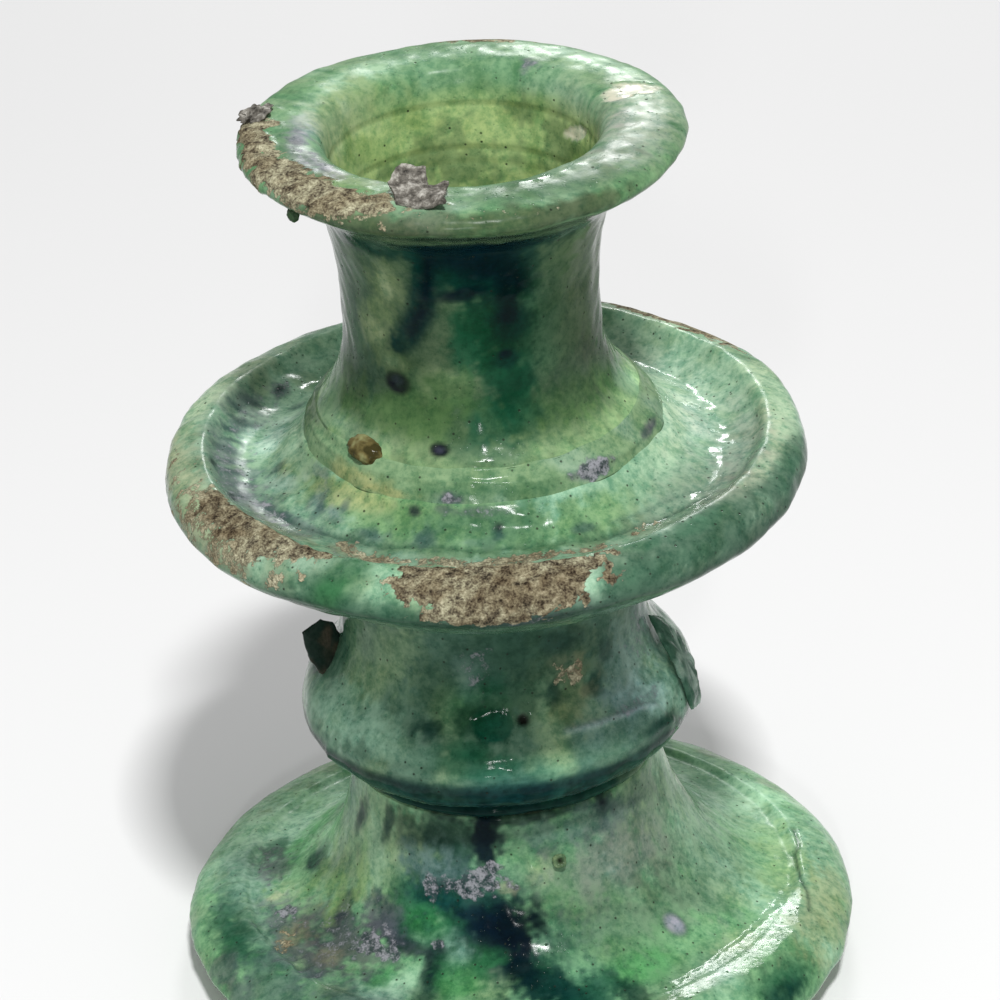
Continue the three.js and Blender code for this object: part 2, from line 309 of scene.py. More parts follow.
class Recipe:
    """A node material. node() takes a type, its settings, and its sockets' values or wires."""

    SHEEN = 0.06  # strength of reflections, low enough that the pale room doesn't veil the glaze

    def __init__(self, name):
        self.material = bpy.data.materials.new(name)
        self.material.use_nodes = True
        self.material.node_tree.nodes.clear()
        self.place = self.node("TexCoord", out="Object")

    def node(self, kind, settings=(), sockets=(), out=0):
        made = self.material.node_tree.nodes.new("ShaderNode" + kind)
        for key, value in dict(settings).items():
            if key == "stops":
                ramp = made.color_ramp.elements
                while len(ramp) < len(value):
                    ramp.new(0.5)
                for stop, (position, colour) in zip(ramp, value):
                    stop.position, stop.color = position, (*colour, 1)
            else:
                setattr(made, key, value)
        for key, value in (sockets.items() if isinstance(sockets, dict) else enumerate(sockets)):
            if isinstance(value, Wire):
                self.material.node_tree.links.new(value.socket, made.inputs[key])
            else:
                made.inputs[key].default_value = value
        return None if out is None else Wire(self, made.outputs[out])

    def noise(self, scale, detail=2.0, rough=0.5):
        sockets = {"Vector": self.place, "Scale": scale, "Detail": detail, "Roughness": rough}
        return self.node("TexNoise", {}, sockets)

    def blend(self, mask, first, second):
        """first where the mask is 0, second where it is 1."""
        colours = [c if isinstance(c, Wire) else (*c, 1) for c in (first, second)]
        return self.node("Mix", {"data_type": "RGBA"}, {0: mask, 6: colours[0], 7: colours[1]}, 2)

    def tinted(self, colour, tint):
        sockets = {0: 1.0, 6: colour, 7: (*tint, 1)}
        return self.node("Mix", {"data_type": "RGBA", "blend_type": "MULTIPLY"}, sockets, 2)

    def attribute(self, name, out="Fac"):
        return self.node("Attribute", {"attribute_name": name}, out=out)

    def finished(self, colour, roughness, height):
        """The shader over a bump whose height is in millimetres."""
        bump = self.node("Bump", {}, {"Strength": 1.0, "Distance": MM, "Height": height})
        sockets = {"Base Color": colour, "Roughness": roughness, "Normal": bump}
        surface = self.node("BsdfPrincipled", {}, {**sockets, "Specular IOR Level": self.SHEEN})
        self.node("OutputMaterial", {}, [surface], out=None)
        return self.material


def glazed(name, gloss=0.14, swell=0.07, specks=0.7, mottle=0.8):
    """Runny lead glaze: the painted colour broken by slow and fine mottling and by dark
    pinholes, and duller where it is marked dull; a purple-grey film where copper came out of
    it; coarse clay where it is bare, browned where it is also marked with the film."""
    m = Recipe(name)
    slow, fine, grain = m.noise(170, 3), m.noise(560, 4, 0.6), m.noise(2300, 2)
    curd = m.noise(1050, 5, 0.7)
    depth = slow * 0.3 + fine * 0.38 + curd * 0.32 + m.attribute("runs") * 0.03
    painted = m.attribute("glaze", "Color")
    thin = m.tinted(painted, (1.3, 1.22, 1.24))
    thick = m.tinted(painted, (0.34, 0.57, 0.54))
    glaze = m.blend(mottle, painted, m.blend(depth.between(0.38, 0.64), thin, thick))
    glaze = m.blend(slow.between(0.45, 0.72) * 0.5, glaze, m.tinted(glaze, (1.1, 1.0, 0.86)))
    cells = {"Vector": m.place, "Scale": 620.0}
    near, chance = m.node("TexVoronoi", {}, cells), m.node("TexVoronoi", {}, cells, "Color")
    spot = m.node("SeparateColor", {}, [chance])
    pin = (1 - near.between(0.06, 0.22)) * spot.between(1 - specks * 0.5, 1.15 - specks * 0.5)
    small = {"Vector": m.place, "Scale": 1150.0}
    dust = (1 - m.node("TexVoronoi", {}, small).between(0.16, 0.34)) * fine.between(0.5, 0.62)
    glaze = m.blend(pin * 0.85, glaze, (0.012, 0.016, 0.01))
    glaze = m.blend(dust * 0.45 * specks, glaze, (0.012, 0.03, 0.016))
    film = (m.attribute("film") + (fine - 0.5) * 0.9 + (grain - 0.5) * 0.3).between(0.35, 0.75)
    scum = (fine * 0.7 + grain * 0.3).between(0.42, 0.62)
    purple = m.blend(scum, (0.02, 0.03, 0.035), (0.27, 0.265, 0.295))
    glaze = m.blend(film * 0.8, glaze, purple)
    grit = [
        (0.39, (0.03, 0.026, 0.018)), (0.46, (0.13, 0.112, 0.075)),
        (0.53, (0.26, 0.245, 0.16)), (0.65, (0.5, 0.48, 0.34)),
    ]
    clay = m.node("ValToRGB", {"stops": grit}, [fine * 0.5 + grain * 0.3 + curd * 0.2])
    clay = m.blend(slow.between(0.42, 0.6) * 0.7, clay, m.tinted(clay, (0.66, 0.58, 0.53)))
    clay = m.blend(m.attribute("film") * 0.9, clay, m.tinted(clay, (0.58, 0.51, 0.47)))
    bare = (m.attribute("bare") + (fine - 0.5) * 1.1 + (grain - 0.5) * 0.5).between(0.42, 0.6)
    colour = m.blend(bare, glaze, clay)
    roughness = gloss + m.attribute("dull") * 0.4 + (fine - 0.45) * 0.18 + film * 0.12 + pin * 0.3
    roughness = roughness + bare * (0.85 - gloss)
    height = m.noise(240, 2) * swell + fine * 0.035 - pin * 0.12 - dust * 0.03
    height = height + bare * (fine * 0.35 + grain * 0.3 - 0.25)
    return m.finished(colour, roughness, height)


foot_glaze = glazed("foot_glaze")

skin = flow([
    [62, 0], [68.6, 4], [71.4, 8.2], [68.2, 12.3], [61, 15.4], [57.4, 14.6], [49.5, 16.8],
    [41, 23.2], [36.2, 31.5], [33.4, 40.5], [32.2, 48.0],
], 0.55)
hollow = flow([[25.7, 48.0], [27.6, 36], [34, 24], [46, 14.4], [56, 8], [57.5, 0]], 3)

PEA, MINT, GRASS = tone(112, 158, 114), tone(148, 186, 156), tone(66, 142, 78)
OLIVE, ASH, EMERALD = tone(118, 142, 106), tone(94, 122, 108), tone(14, 76, 52)
DEEP, INK, SAGE = tone(6, 46, 40), tone(4, 22, 30), tone(130, 164, 134)
KHAKI, MAUVE = tone(150, 162, 120), tone(80, 84, 88)

foot = Thrown(np.concatenate([skin, hollow]), 560, 11, PEA)
foot.cloud(MINT, 22, 17, 0, 1, 0.8, drawn=0.45)
foot.cloud(OLIVE, 16, 18, 0.1, 1, 0.7, drawn=0.4)
foot.dabs(MINT, [
    (0, 28, 26, 12), (-12, 46, 12, 14), (165, 28, 22, 10), (40, 40, 20, 16), (95, 34, 26, 12),
], 0.75)
foot.dabs(OLIVE, [
    (-150, 60, 16, 16), (-125, 66, 6, 9), (-32, 68, 12, 9), (100, 62, 20, 12), (20, 66, 10, 8),
], 0.8)
foot.dabs(SAGE, [(-22, 60, 5, 16), (-8, 56, 5, 14), (-165, 62, 3, 12, 8), (-142, 58, 3, 12, 10)], 0.6)
foot.dabs(PEA, [(-60, 47, 13, 12), (-70, 58, 8, 9)], 0.9)
foot.dabs(tone(98, 128, 100), [
    (-45, 64, 10, 9), (-28, 60, 5, 16), (-8, 66, 6, 8), (-30, 44, 4, 10, 15),
], 0.6, ragged=0.7)
foot.dabs(tone(160, 190, 140), [
    (-22, 40, 3, 5), (-2, 30, 14, 5), (-34, 33, 6, 3), (-80, 63, 3, 3),
], 0.5, ragged=0.7)
foot.dabs(GRASS, [(-188, 38, 6, 4), (-198, 42, 8, 5), (-148, 25, 9, 4), (-60, 38, 7, 4)], 0.7)
foot.dabs(ASH, [(-180, 27, 12, 7), (-160, 27, 16, 7), (-172, 68, 5, 7), (150, 56, 12, 10)], 0.75)
foot.dabs(EMERALD, [
    (-160, 22, 14, 4), (-76, 35, 8, 5), (-86, 43, 7, 7), (-82, 31, 8, 5), (-108, 58, 12, 8),
    (-124, 54, 7, 7), (-176, 46, 5, 4), (-38, 18, 9, 4.5), (70, 30, 16, 8), (110, 50, 8, 16),
    (-192, 33, 5, 3),
], 0.85)
foot.dabs(DEEP, [
    (-116, 62, 6, 9), (-104, 55, 13, 5), (-96, 47, 7, 8), (-84, 38, 7, 5), (-128, 47, 6, 4),
    (-112, 70, 12, 6), (-138, 69, 1.6, 5, -14), (-156, 66, 2.2, 5, -20), (-148, 46, 3, 5, -12),
    (-176, 45, 2.6, 2.6), (-52, 73, 2.4, 3), (-40, 16, 7, 2.6), (-66, 32, 3, 4), (-112, 38, 3, 7),
    (75, 66, 3, 9), (128, 70, 2, 6), (60, 47, 5, 4),
], 0.9)
foot.dabs(INK, [
    (-97.5, 71, 2.6, 8), (-93, 51, 6, 6), (-101, 53, 8, 2.5), (-122, 44.5, 6, 1.6), (-113, 43, 2, 6),
    (-90, 44, 4, 7), (-84, 75, 16, 1.2), (-52.5, 74, 1.4, 2),
], 0.9)
foot.dabs(tone(54, 124, 68), [
    (-118, 50.5, 6, 3.6), (-105, 40, 5.4, 5.4), (-124, 36, 2.6, 4.6, -15), (-98, 45, 4, 2, 20),
], 0.8)
foot.dabs(MAUVE, [
    (-140, 41, 13, 7), (-152, 33, 16, 4.5), (-183, 34, 6, 4), (-134, 49, 6, 4), (-152, 16, 8, 3),
], 0.75, ragged=0.7)
foot.dabs(KHAKI, [
    (-152, 34, 4, 3), (-140, 35, 3, 2.4), (-14, 20, 16, 5), (-170, 34, 1.4, 1.6), (-92, 60, 1.6, 1.4),
], 0.6, ragged=0.7)
foot.film = foot.spread(
    (1, -131, 42.5, 5.6, 2.4, 0.8), (0.8, -104, 60, 8, 2.2, 12, 0.8), (0.7, -115, 59, 3, 3.4, 0.8),
    (0.9, -96, 64.5, 4, 1.2, 10, 0.8), (0.75, -161, 35, 3, 2, 0.8), (0.42, -142, 40, 12, 7, 0.9),
    (0.36, -152, 32, 16, 5, 0.9), (0.9, -113, 47, 1.6, 1.2, 0.45), (0.5, -185, 32, 8, 4, 0.9),
)
foot.dabs(tone(134, 168, 134), [
    (-42, 54, 12, 9), (-22, 48, 12, 12), (-66, 61, 6, 7), (-60, 49, 8, 5), (0, 56, 10, 14),
], 0.5, ragged=0.8)
foot.dabs(ASH, [(-62, 71, 10, 4), (-118, 64, 6, 5), (-120, 24, 18, 7), (-142, 22, 10, 7)], 0.6, ragged=0.7)
foot.dabs(INK, [(-98, 72, 3, 7), (-92, 51, 5, 5)], 0.9)
BLISTER = (-44.5, 43.5)
bubble, ring = (foot.patch(*BLISTER, wide, wide + 0.3, ragged=0.05) for wide in (2.0, 2.6))
crack = foot.line([(-18, 23.5), (-12, 25), (-8, 27), (-2, 28), (2, 28.2), (5, 26.6), (12, 26)], 0.5)
foot.paint(DEEP, crack, 0.75)
foot.bare = np.maximum(0.55 * foot.patch(-152, 31, 4, 2.4, ragged=0.8), smooth(8 - foot.up, 0, 5) * 0.8)
inside = smooth(foot.up, 75.5, 77)
foot.bare = np.maximum(foot.bare, 0.9 * inside)
foot.paint(tone(120, 96, 70), inside)
foot.glaze *= 0.96
foot.wash_and_shade(
    (-122, 22, 36, 11, 0.62, 0.6, 0.68), (-80, 35, 10, 7, 0.5, 0.62, 0.8),
    (-50, 30, 17, 6, 0.8, 0.72, 0.8), (-18, 22, 24, 8, 0.9, 0.86, 0.84),
    (-193, 38, 24, 14, 1.75, 1.7, 1.75), (-150, 44, 8, 8, 0.75, 0.75, 0.85),
    (28, 22, 10, 8, 1.3, 1.3, 1.3), (-108, 59, 13, 7, 1.55, 1.4, 1.75),
    (-70, 71, 22, 5, 0.68, 0.66, 0.78), (-62, 60, 26, 8, 0.62, 0.58, 0.62),
    (-50, 62, 14, 6, 1.2, 0.98, 1.2), (-100, 47, 20, 6, 0.58, 0.6, 0.8),
    (-60, 48, 16, 7, 0.58, 0.6, 0.6), (-15, 48, 18, 9, 0.66, 0.68, 0.68),
    (-178, 60, 13, 12, 1.3, 1.4, 1.35), (-146, 38, 14, 7, 0.62, 0.52, 0.6),
    (-128, 28, 16, 6, 0.85, 0.82, 0.9), (0, 33, 14, 8, 0.8, 0.86, 0.72),
    (-146, 64, 7, 6, 1.3, 1.25, 1.3), (2, 66, 8, 10, 1.4, 1.4, 1.35),
)
foot.dabs(tone(122, 154, 92), [
    (-160, 51, 2.6, 8, 16), (-152, 46, 2, 7, 20), (-146, 53, 2.6, 6, 14), (-167, 47, 2.4, 6, 18),
], 0.55, ragged=0.7)
foot.paint(tone(34, 52, 44), ring, 0.85)
foot.paint(tone(142, 144, 154), bubble)
foot.dull = foot.spread(
    (0.9, -172, 28, 50, 9, 0.45), (0.5, 60, 28, 60, 6, 0.45), (0.4, -148, 40, 18, 10, 0.45),
)
foot.lift = (
    foot.uneven((0.4, 38, 21), (0.16, 11, 22), (0.05, 4, 23))
    + 0.02 * foot.rings((1, 5.2, 0), (0.6, 3.1, 1))
    + 0.35 * bubble * (1 - 0.5 * foot.patch(*BLISTER, 1.2, 1.4, ragged=0))
    - 0.2 * foot.patch(*BLISTER, 3.2, 3.6, ragged=0.05) - 0.5 * crack
    + 0.3 * foot.line([(-82.5, 56), (-82.2, 64)], 0.5)
    + 0.3 * foot.line([(-126, 38), (-124, 35), (-122, 32)], 0.6)
    + 0.4 * foot.line([(-58, 58), (-48, 61), (-42, 61)], 1.2)
)
foot.lift += 0.3 * foot.patch(-165, 28, 44, 8) * ripple(foot.points, 2.8, 24)
level = foot.patch(-38, 27.5, 28, 5.2, ragged=0.15, soft=0.2)
foot.lift *= 1 - 0.85 * level
LEDGE, INNER_EDGE = 15.35, foot.up.max()
foot.lift += level * np.clip(LEDGE - foot.height[:, None] / MM, -0.4, 1.3)
# Both edges stay on the floor
foot.lift *= smooth(foot.up, 0, 4) * (1 - smooth(foot.up, INNER_EDGE - 8, INNER_EDGE - 2))
foot.made("foot_shell", foot_glaze, "foot_glaze", "foot")


# --- Neck ring --------------------------------------------------------------------------------
# A thin ring of slip squeezed out where foot and knop were luted together. Glaze ran over it
# from the knop and stayed thick, so it is the darkest and glossiest part.
dark_glaze = glazed("dark_glaze", gloss=0.08, swell=0.04, specks=0.3)
outline = np.concatenate([
    flow([[31.6, 47.8], [33.6, 49.8], [32, 51.9]], 0.4), flow([[25.7, 51.9], [25.7, 47.8]], 2),
])
neck = Thrown(outline, 360, 31, tone(26, 62, 50))
neck.dabs(OLIVE, [(-165, 2.5, 14, 3), (-20, 2.5, 12, 3), (90, 2.5, 20, 3)], 0.5)
neck.dabs(INK, [(-95, 2.5, 18, 3)], 0.7)
neck.lift = neck.uneven((0.25, 14, 32), (0.08, 5, 33))
neck.made("slip_ring", dark_glaze, "dark_glaze", "neck_ring")


# --- Knop and stem ----------------------------------------------------------------------------
# A hollow bell with its lip downwards under a straight column, thrown in one. The glaze is thin
# and olive on the column, greyed by reduction at the sides, and thick and dark under the lip,
# where painted shade darkens it further.
knop_glaze = glazed("knop_glaze", gloss=0.1, swell=0.08, specks=0.55)
skin = flow([
    [32.8, 51.7], [37, 53.8], [40, 56.8], [41, 61], [39.2, 67], [34.4, 72.8], [32, 79],
    [31.4, 86], [32.2, 94.2],
], 0.5)
hollow = flow([[24.9, 94.2], [24.9, 80], [30, 66], [25.7, 51.7]], 3)
LICHEN, SLATE, OAT = tone(74, 102, 84), tone(100, 122, 112), tone(134, 130, 94)

knop = Thrown(np.concatenate([skin, hollow]), 480, 41, LICHEN)
knop.cloud(OLIVE, 14, 42, 0, 1, 0.5)
knop.dabs(OLIVE, [
    (-140, 38, 13, 8), (-128, 40, 7, 6), (-72, 19, 3, 9), (-70, 30, 7, 8), (60, 30, 16, 12),
    (130, 36, 14, 8),
], 0.65)
knop.dabs(tone(100, 130, 108), [
    (-152, 20, 11, 4), (-125, 21.5, 8, 3.4), (-168, 18, 6, 4), (20, 20, 14, 4), (100, 20, 16, 4),
], 0.8)
knop.dabs(SLATE, [
    (-24, 34, 10, 8), (-40, 30, 7, 8), (-10, 26, 6, 7), (-98, 38, 4.5, 5.5), (-97, 33, 3, 3),
], 0.7)
knop.dabs(tone(50, 74, 52), [(-82, 34, 6, 8), (-84, 42, 10, 4), (-112, 34, 5, 6)], 0.75)
knop.dabs(tone(90, 102, 68), [(-60, 36, 8, 6), (-66, 28, 4, 5)], 0.8, ragged=0.6)
knop.dabs(OAT, [
    (-60, 33.5, 3.2, 1.8), (-55, 29.5, 2, 1.4), (-64, 37, 2.4, 1.2), (-57, 36, 1.6, 1.4),
], 0.8, ragged=0.8)
# The long thin ovals at up 12 and 13 darken the lip's lower edge: pooled glaze, and painted shade under
# the lip.
knop.dabs(DEEP, [
    (-98, 27.5, 5, 3.2), (-70, 30.5, 2.6, 2.8), (-53, 30, 2.4, 2.6), (-64, 41, 4, 2.4),
    (-45, 35, 2, 2.4), (-180, 26, 5, 6), (-176, 23, 4, 2), (-36, 15, 6, 2.2), (-88, 12, 30, 1.6),
    (-115, 23, 2.6, 3), (-110, 25, 2, 2), (50, 26, 8, 5), (90, 13, 24, 1.8), (150, 26, 5, 8),
], 0.8)
knop.dabs(EMERALD, [(-97, 18, 10, 2.8), (-100, 21, 6, 2), (-92, 34, 3, 3)], 0.8)
POOL, PIT = (-91.5, 25.6), (-81, 26.5)
pool = knop.patch(*POOL, 4.2, 3.6, ragged=0.12, soft=0.15)
knop.paint(tone(12, 66, 50), pool, 0.95)
# Painted shade: everything below the lip's edge is darkened, over the thick glaze pooled there; the dabs
# after it vary it but keep it dark.
knop.paint(tone(10, 32, 32), 1 - smooth(knop.up, 12.0, 14.2), 0.9)
knop.dabs(tone(24, 66, 56), [(-130, 8, 16, 3), (-40, 8, 12, 3), (90, 7, 26, 3)], 0.5)
ridge = knop.line([(-68, 22.5), (-55, 22), (-42, 21.2), (-36, 20)], 0.7)
slope = (
    knop.line([(-36, 20), (-32, 15), (-26, 12)], 0.8) + knop.line([(-27, 22), (-12, 25), (-4, 26)], 0.8)
)
# Painted highlight: the ridge is lightened along its line, over its relief.
knop.paint(tone(128, 142, 138), np.clip(ridge, 0, 1), 0.5)
knop.film = knop.spread(
    (0.42, -97, 38, 4.2, 5.4, 0.3), (0.5, -45, 22, 10, 1.6, 0.45), (0.45, -22, 34, 8, 7, 0.45),
)
pit = knop.patch(*PIT, 1.3, 1.3, ragged=0.1)
knop.paint(tone(18, 20, 16), pit)
knop.bare = 0.62 * knop.patch(-60, 33.5, 4.5, 2.4, ragged=0.8) + 0.8 * smooth(knop.up, 49.0, 50.0)
knop.paint(tone(44, 70, 58), smooth(knop.up, 26, 40), 0.6)
knop.dabs(tone(112, 146, 124), [
    (-146, 22, 12, 5), (-122, 19, 8, 3), (-22, 22, 12, 5), (-18, 16, 8, 4), (30, 22, 16, 5),
    (110, 22, 18, 5),
], 0.6, ragged=0.6)
knop.glaze *= 1.3
# The ovals at up 6 and 13 in front darken the underside of the lip further: painted shade, over the thick
# glaze there.
knop.wash_and_shade(
    (-84, 39, 11, 12, 0.5, 0.65, 0.66), (-98, 29, 6, 5, 0.5, 0.8, 0.6),
    (-58, 35, 9, 8, 0.6, 0.7, 0.75), (-85, 6, 26, 5, 0.3, 0.7, 0.9), (-18, 24, 11, 9, 2.0, 1.9, 2.0),
    (-142, 20, 10, 6, 1.5, 1.45, 1.5), (-82, 13, 12, 4, 0.5, 0.75, 0.85),
    (-162, 38, 7, 8, 0.7, 0.8, 0.75), (-48, 22, 12, 5, 1.2, 1.15, 1.4),
)
knop.lift = (
    knop.uneven((0.3, 30, 43), (0.14, 9, 44), (0.05, 4, 45))
    + 0.02 * knop.rings((1, 4.4, 0), (0.5, 2.3, 0))
    + 0.45 * ridge + 0.4 * slope - 0.7 * pit + 0.25 * knop.patch(*PIT, 2.4, 2.4, ragged=0.1)
    - 0.22 * pool + 0.12 * knop.patch(*POOL, 5.2, 4.6, ragged=0.12)
    + 0.3 * knop.line([(-150, 10), (-145, 17)], 0.8)
    + 0.45 * knop.line([(-140, 15.2), (-110, 15.4), (-60, 15.2), (-30, 14.8)], 0.9)
)
knop.made("knop_shell", knop_glaze, "knop_glaze", "stem_knop")


# --- Drip pan ---------------------------------------------------------------------------------
# A heavy dished plate with a raised edge, closed below, with a boss that carries the socket. The
# glaze flowed off the edge and left the coarse clay bare in front and at the left. Its creases and
# its outer edge are darkened with painted shade.
pan_glaze = glazed("pan_glaze", gloss=0.13, swell=0.1, specks=0.85)
INNER = 34  # radius at which the underside leaves the stem; places are counted from there
skin = flow([
    [INNER, 94.1], [38, 98.6], [46, 101.6], [53, 104.6], [60.5, 109.6], [64.4, 113], [65, 115.6],
    [63.2, 119.2], [57.2, 121.4], [53.6, 118.6], [47.5, 116.8], [41, 119.2], [36.4, 123.3],
], 0.55)
boss = np.array([[23.7, 123.3], [23.7, 128.4], [0, 128.4]]) * MM
BLUE, FERN, CREAM = tone(112, 134, 126), tone(112, 148, 96), tone(164, 186, 152)

pan = Thrown(np.concatenate([np.array([[0, 94.1]]) * MM, skin, boss]), 560, 51, SAGE)
pan.up = pan.up - INNER
pan.cloud(MINT, 20, 52, 0, 1, 0.7)
pan.cloud(OLIVE, 12, 53, 0.2, 1, 0.6)
pan.paint(EMERALD, 1 - smooth(pan.up + 3 * pan.edge, 28, 36), 0.7)
pan.cloud(PEA, 13, 54, 0, 0.8, 0.8, within=1 - smooth(pan.up, 24, 34))
pan.dabs(FERN, [
    (-130, 70, 22, 4), (-95, 68, 22, 5), (-62, 67, 12, 5), (-160, 71, 8, 4), (-110, 73, 20, 3),
], 0.8)
pan.dabs(tone(158, 172, 112), [(-137, 71, 9, 2.6), (-128, 72.5, 6, 1.6), (-165, 68, 3, 2)], 0.7)
pan.dabs(tone(156, 184, 166), [
    (-188, 65, 8, 4), (-196, 58, 9, 3), (-160, 66, 5, 3, 30), (-8, 58, 14, 6), (8, 66, 12, 5),
], 0.65)
pan.dabs(tone(140, 168, 142), [(-20, 60, 18, 8), (20, 56, 20, 8), (50, 60, 26, 10), (-12, 72, 10, 3)], 0.6)
pan.dabs(BLUE, [
    (-203, 55, 3, 2.4), (-193, 55, 2.4, 2.6), (-184, 56, 3, 2.4), (-176, 56.5, 2.2, 3),
    (-168, 57, 3, 3), (-158, 57, 5, 2.6), (-150, 60, 6, 1.6, -10), (-172, 61, 3, 2),
    (-140, 62, 6, 1.4), (-134, 67, 3, 1.6), (-143, 68, 2, 3, 20), (-120, 65, 4, 1.6),
    (-106, 66, 3, 2.4), (147, 57, 3, 2), (-150, 73, 3, 1), (160, 69, 2.6, 1.6), (-94, 66.4, 5, 1.2),
], 0.75, ragged=0.7)
pan.dabs(CREAM, [
    (-200, 46, 14, 4), (-22, 48, 16, 2), (6, 47, 20, 4), (60, 46, 24, 4), (150, 47, 18, 4),
], 0.7)
pan.dabs(tone(142, 152, 120), [
    (-166, 45, 16, 5), (-176, 42, 12, 3), (-148, 41, 14, 3), (-140, 57, 12, 2.4), (-120, 59.5, 8, 1.6),
], 0.85)
shadow = pan.line([(-128, 36), (-110, 36.5), (-90, 36), (-60, 37), (-30, 38.5), (-5, 40)], 3.6)
pan.paint(tone(48, 72, 62), shadow, 0.85)
pan.dabs(tone(52, 92, 70), [
    (-48, 43, 16, 4), (-64, 42, 7, 4), (-20, 43, 14, 3), (-118, 40, 8, 4), (-106, 38, 6, 3.4),
], 0.85)
pan.dabs(tone(62, 124, 88), [(-46, 47.4, 9, 2), (-60, 49, 4, 2)], 0.8)
run = pan.line([(-114, 49.5), (-116, 45), (-118, 40)], 3.2) * smooth(52 - pan.up, 0, 4)
pan.paint(tone(50, 98, 62), np.clip(run * 1.5, 0, 1), 0.95)
pan.dabs(MAUVE, [
    (-92, 72.5, 6, 1), (-111, 72, 1.4, 1), (-102, 73, 1.6, 1), (-82, 36.5, 9, 1.6),
], 0.7, ragged=0.6)
crease = pan.line([
    (-152, 60), (-140, 61.5), (-120, 64), (-100, 65), (-80, 64.6), (-60, 63), (-40, 60.5), (-32, 57.5),
], 0.55)
# Painted shade in the crease, which is also cut as a groove below.
pan.paint(tone(52, 84, 66), crease, 0.75)
far_crease = pan.line([(-55, 65.2), (-40, 64), (-30, 61), (-28, 58)], 0.5)
# Painted shade in the far crease too, which is also a shallow groove.
pan.paint(tone(84, 118, 98), far_crease, 0.6)
front = np.maximum(
    pan.patch(-88, 46, 22, 8.4, ragged=0.28, soft=0.14), pan.patch(-92, 41, 11, 5, ragged=0.3, soft=0.2)
)
front *= 1 - np.clip(1.6 * run, 0, 1)
left = pan.spread((1, -140, 47.5, 17, 4.6, 0.5), (1, -128, 50, 9, 3, 0.4))
sandy = pan.spread((0.62, -146, 45, 24, 7, 0.7), (0.66, -95, 60.5, 34, 1.8, 0.6))
behind = pan.spread((0.9, 50, 45.5, 20, 3, 0.7), (0.7, 95, 47, 16, 3, 0.8))
pan.bare = np.maximum.reduce([0.95 * front, 0.95 * left * (1 - run), sandy * (1 - run), behind])
pan.film = np.maximum.reduce([
    0.9 * front * pan.patch(-82, 43, 22, 4.4, ragged=0.8),
    0.9 * left * pan.patch(-150, 47.5, 12, 3.4, ragged=0.7),
    pan.spread(
        (0.45, -170, 57, 34, 4, 0.9), (0.55, -150, 60, 8, 2, 0.7), (0.5, 147, 57, 4, 2.6, 0.45),
        (0.5, -94, 72.5, 7, 1, 0.45), (0.35, -85, 36.5, 12, 2, 0.45),
    ),
])
pan.dabs(tone(150, 184, 150), [
    (-196, 71, 10, 3), (-178, 71, 8, 3), (-162, 71, 6, 2.4), (-16, 71, 12, 3), (8, 71, 14, 4),
    (28, 68, 10, 4),
], 0.7)
pan.dabs(tone(92, 132, 94), [
    (-104, 66, 16, 4), (-80, 67, 14, 4), (-92, 71, 10, 2), (-66, 64, 10, 2),
], 0.6, ragged=0.6)
pan.dabs(tone(104, 128, 112), [
    (-160, 57, 12, 4), (-178, 54, 12, 3), (-198, 53, 10, 2.4), (-142, 60, 10, 2.4),
], 0.65, ragged=0.6)
pan.dabs(tone(58, 84, 82), [
    (-204, 56, 1.4, 3, 10), (-199, 54, 1.0, 2.6), (-195, 57, 1.2, 3.2, 12), (-190, 54.5, 1.4, 2.4),
    (-186, 57, 1.1, 3, 15), (-181, 55, 1.3, 2.8, 8), (-176, 58, 1.2, 3.2, 18),
    (-171, 56, 1.5, 2.6, 10), (-166, 58.5, 1.2, 2.8, 20), (-160, 57.5, 1.8, 2.4, 16),
    (-154, 59.5, 2.4, 1.6, 10), (-147, 61.5, 3, 1.2, 8), (-168, 66, 1.2, 2.2, 20),
    (-140, 66, 1.2, 2.6, 16), (-133, 69, 1.2, 1.8, 12), (-121, 66, 2.6, 1.2), (-106, 66.5, 1.6, 2),
    (-86, 68, 1.2, 1.8), (148, 58, 1.6, 1.4), (152, 64, 2, 1.4), (-64, 66, 2.4, 0.8),
], 0.75, ragged=0.6, soft=0.6)
pan.dabs(INK, [
    (147, 57, 1.2, 0.9), (-172, 52.5, 1.4, 1), (-158, 54.5, 2, 0.9), (-111, 72, 1.3, 0.9),
    (-86, 69.5, 1, 1),
], 0.8)
# Painted shade: the pan is darkened from its outer edge down over the underside, with the painted shadow
# along the front edge.
pan.paint(tone(38, 60, 48), 1 - smooth(pan.up + 1.5 * pan.edge, 37, 43), 0.5)
pan.dabs(tone(66, 104, 78), [(-52, 45, 12, 4), (-36, 46, 10, 3), (-66, 45, 4, 4)], 0.6)
pan.wash_and_shade(
    (-194, 70, 14, 6, 1.6, 1.5, 1.6), (-162, 70, 14, 5, 0.66, 0.64, 0.66),
    (8, 70, 20, 5, 1.4, 1.2, 1.3), (-135, 70, 10, 4, 0.9, 0.86, 1.0),
    (-90, 70, 17, 5, 0.62, 0.66, 0.72), (-100, 61.5, 34, 4, 0.68, 0.66, 0.7),
    (-195, 62, 11, 4, 1.4, 1.35, 1.4), (-150, 59, 22, 6, 0.76, 0.74, 0.78),
    (-38, 59, 22, 8, 0.74, 0.68, 0.72), (-170, 53, 44, 5, 0.72, 0.68, 0.74),
    (-46, 47, 36, 8, 0.82, 0.7, 0.78), (-85, 37.5, 16, 3.4, 0.6, 0.65, 0.7),
    (40, 62, 24, 6, 1.3, 1.2, 1.3), (-130, 46, 16, 6, 0.8, 0.74, 0.78),
    (-8, 55, 18, 5, 0.88, 0.78, 0.82),
)
rolled = smooth(pan.up, 44, 49) * (1 - smooth(pan.up, 53, 57))
pan.dull = np.maximum(0.35 * rolled, 0.4 * pan.patch(-170, 56, 40, 6))
